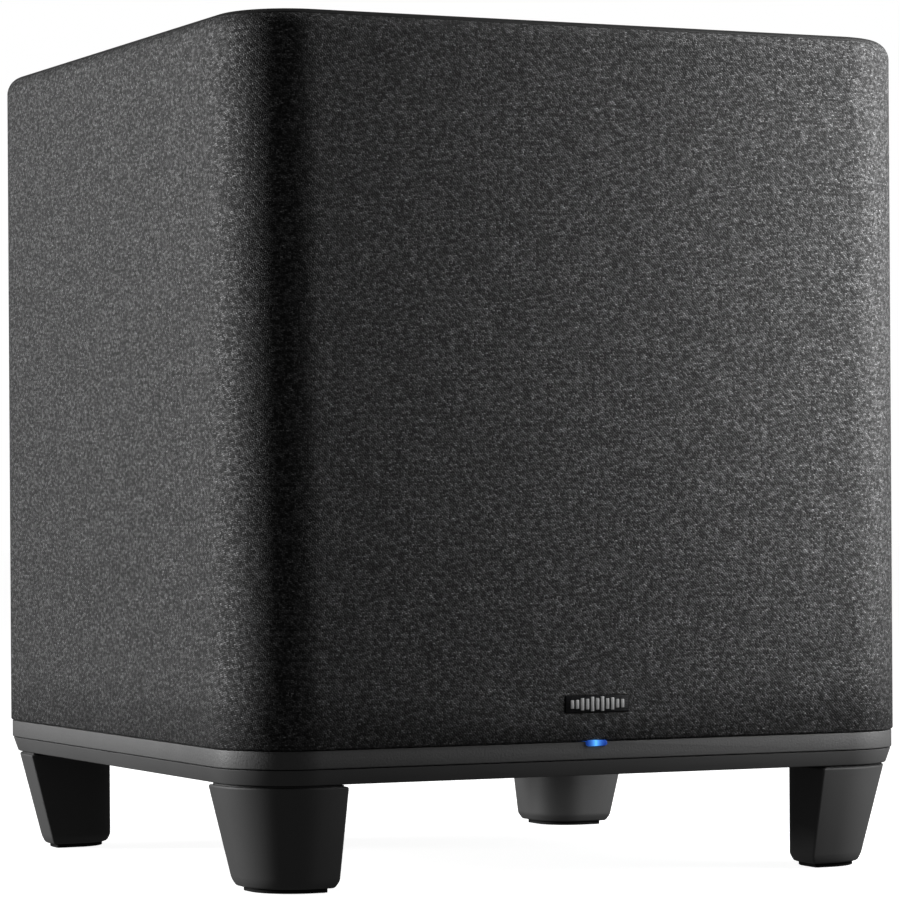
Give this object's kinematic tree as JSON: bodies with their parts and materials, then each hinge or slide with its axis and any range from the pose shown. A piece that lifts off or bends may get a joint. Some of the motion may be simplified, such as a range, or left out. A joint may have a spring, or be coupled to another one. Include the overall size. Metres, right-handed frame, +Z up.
{
  "type": "subwoofer",
  "caption": "Compact fabric-wrapped cube subwoofer on tall tapered corner feet, with a down-firing woofer, base trim band, front status light and recessed rear socket panel.",
  "frame": {"origin": "on the floor, under the middle of the cabinet, in the plane of the foot pads", "axes": "+Z up, front face looks along -Y, +X to the right of someone facing along +Y from the front"},
  "size_m": [0.311, 0.3126, 0.352],
  "materials": {
    "mdf": "raw medium-density fibreboard",
    "top_plastic": "satin black moulding",
    "fabric": "charcoal melange twill",
    "base_plastic": "smooth satin black moulding",
    "band_plastic": "fine-textured satin black moulding",
    "foot_plastic": "satin black moulding",
    "foot_rubber": "matt",
    "badge_metal": "satin, blank",
    "light_pipe": "clear moulding lit blue",
    "circuit_board": "solder mask on glass fibre",
    "painted_steel": "black powder coat",
    "black_steel": "black phosphate",
    "foam": "closed-cell foam",
    "rubber": "satin",
    "spider_cloth": "resin-stiffened cotton",
    "cone_paper": "pressed pulp, dyed black",
    "former_aluminium": "plain foil",
    "copper": "lacquered wire",
    "plain_steel": "zinc plated",
    "ferrite": "ground ferrite",
    "panel_plastic": "fine-textured black moulding",
    "socket_plastic": "black moulding",
    "shield_can": "nickel-plated sheet",
    "button_plastic": "satin",
    "aluminium": "extruded",
    "capacitor_sleeve": "shrink sleeve",
    "cable_sleeve": "PVC sheath",
    "wadding": "polyester fibre"
  },
  "bodies": {
    "cabinet": {"cabinet_shell": "mdf", "top_board": "mdf", "baffle_board": "mdf", "top_cap": "top_plastic", "fabric_sleeve": "fabric", "base_plate": "base_plastic", "trim_ring": "band_plastic", "badge_plate": "badge_metal", "status_light_pipe": "light_pipe", "status_light_board": "circuit_board", "woofer_basket": "painted_steel", "woofer_gasket": "foam", "woofer_surround": "rubber", "woofer_spider": "spider_cloth", "woofer_top_plate": "plain_steel", "woofer_magnet": "ferrite", "woofer_yoke": "plain_steel", "woofer_terminal": "panel_plastic", "io_panel": "panel_plastic", "panel_gasket": "foam", "ac_inlet": "socket_plastic", "line_in_jack": "socket_plastic", "ethernet_socket": "shield_can", "usb_socket": "shield_can", "button_switch": "socket_plastic", "amplifier_board": "circuit_board", "heatsink": "aluminium", "transformer": "ferrite", "reservoir_capacitor_1": "capacitor_sleeve", "reservoir_capacitor_2": "capacitor_sleeve", "wireless_module": "shield_can", "speaker_cable": "cable_sleeve", "acoustic_wadding": "wadding", "foot_front_left": "foot_plastic", "foot_pad_front_left": "foot_rubber", "foot_screw_front_left": "plain_steel", "foot_front_right": "foot_plastic", "foot_pad_front_right": "foot_rubber", "foot_screw_front_right": "plain_steel", "foot_rear_left": "foot_plastic", "foot_pad_rear_left": "foot_rubber", "foot_screw_rear_left": "plain_steel", "foot_rear_right": "foot_plastic", "foot_pad_rear_right": "foot_rubber", "foot_screw_rear_right": "plain_steel", "woofer_screw_1": "black_steel", "woofer_screw_2": "black_steel", "woofer_screw_3": "black_steel", "woofer_screw_4": "black_steel", "woofer_screw_5": "black_steel", "woofer_screw_6": "black_steel", "panel_screw_1": "black_steel", "panel_screw_2": "black_steel", "panel_screw_3": "black_steel", "panel_screw_4": "black_steel"},
    "cone": {"woofer_cone": "cone_paper", "woofer_dust_cap": "cone_paper", "voice_coil_former": "former_aluminium", "voice_coil_winding": "copper"},
    "button": {"connect_button": "button_plastic"}
  },
  "joints": [
    {"name": "cone_travel", "type": "slide", "parent": "cabinet", "child": "cone", "axis": [0, 0, 1], "range_m": [-0.008, 0.008], "stiffness_N_per_m": 2500, "deforming": ["woofer_surround", "woofer_spider"]},
    {"name": "connect_button_press", "type": "slide", "parent": "cabinet", "child": "button", "axis": [0, -1, 0], "range_m": [0, 0.001], "stiffness_N_per_m": 1500, "springref_m": -0.0005}
  ]
}
